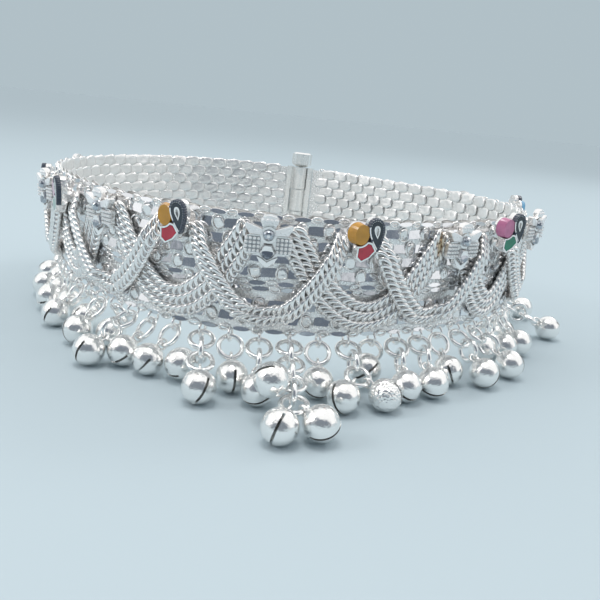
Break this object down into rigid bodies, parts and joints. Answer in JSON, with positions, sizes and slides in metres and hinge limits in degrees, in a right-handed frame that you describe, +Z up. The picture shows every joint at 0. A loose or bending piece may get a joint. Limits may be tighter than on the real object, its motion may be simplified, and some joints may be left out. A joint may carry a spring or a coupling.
{
  "type": "anklet",
  "caption": "Silver anklet with a woven band, chain festoons, enamelled and cast motifs, a fringe of small round bells and a screw-pin clasp.",
  "frame": {"origin": "on the surface the anklet lies on, under the middle of its box", "axes": "+Z up, out of the ankle opening's top; -Y through the front motif side; +X to the right seen from the front"},
  "size_m": [0.1035, 0.1091, 0.028],
  "materials": {
    "woven_silver": "polished links with dark recesses",
    "chain_silver": "polished",
    "cast_silver": "cast and polished, darker in the recesses",
    "clasp_silver": "polished",
    "ring_silver": "polished wire",
    "bell_silver": "mirror polished",
    "enamel_yellow": "translucent glossy enamel",
    "enamel_red": "translucent glossy enamel",
    "enamel_pink": "translucent glossy enamel",
    "enamel_green": "translucent glossy enamel",
    "enamel_sky": "translucent glossy enamel",
    "enamel_blue": "translucent glossy enamel",
    "enamel_black": "glossy enamel"
  },
  "bodies": {
    "anklet": {"band": "woven_silver", "wide_festoons": "chain_silver", "slim_festoons": "chain_silver", "silver_motif_front": "cast_silver", "silver_motif_left_1": "cast_silver", "silver_motif_left_2": "cast_silver", "silver_motif_left_3": "cast_silver", "silver_motif_right_1": "cast_silver", "silver_motif_right_2": "cast_silver", "silver_motif_right_3": "cast_silver", "enamel_setting_left_1": "cast_silver", "enamel_setting_left_2": "cast_silver", "enamel_setting_left_3": "cast_silver", "enamel_setting_right_1": "cast_silver", "enamel_setting_right_2": "cast_silver", "enamel_setting_right_3": "cast_silver", "enamel_yellow": "enamel_yellow", "enamel_red": "enamel_red", "enamel_pink": "enamel_pink", "enamel_green": "enamel_green", "enamel_sky": "enamel_sky", "enamel_blue": "enamel_blue", "enamel_black": "enamel_black", "clasp_left": "clasp_silver", "clasp_right": "clasp_silver", "jump_rings": "ring_silver", "front_bells": "bell_silver", "back_bells": "bell_silver"},
    "clasp_screw": {"clasp_screw": "clasp_silver"}
  },
  "joints": [
    {"name": "screw_pin", "type": "slide", "parent": "anklet", "child": "clasp_screw", "axis": [0.0171, 0.0457, 0.9988], "range_m": [0, 0.0164]}
  ]
}
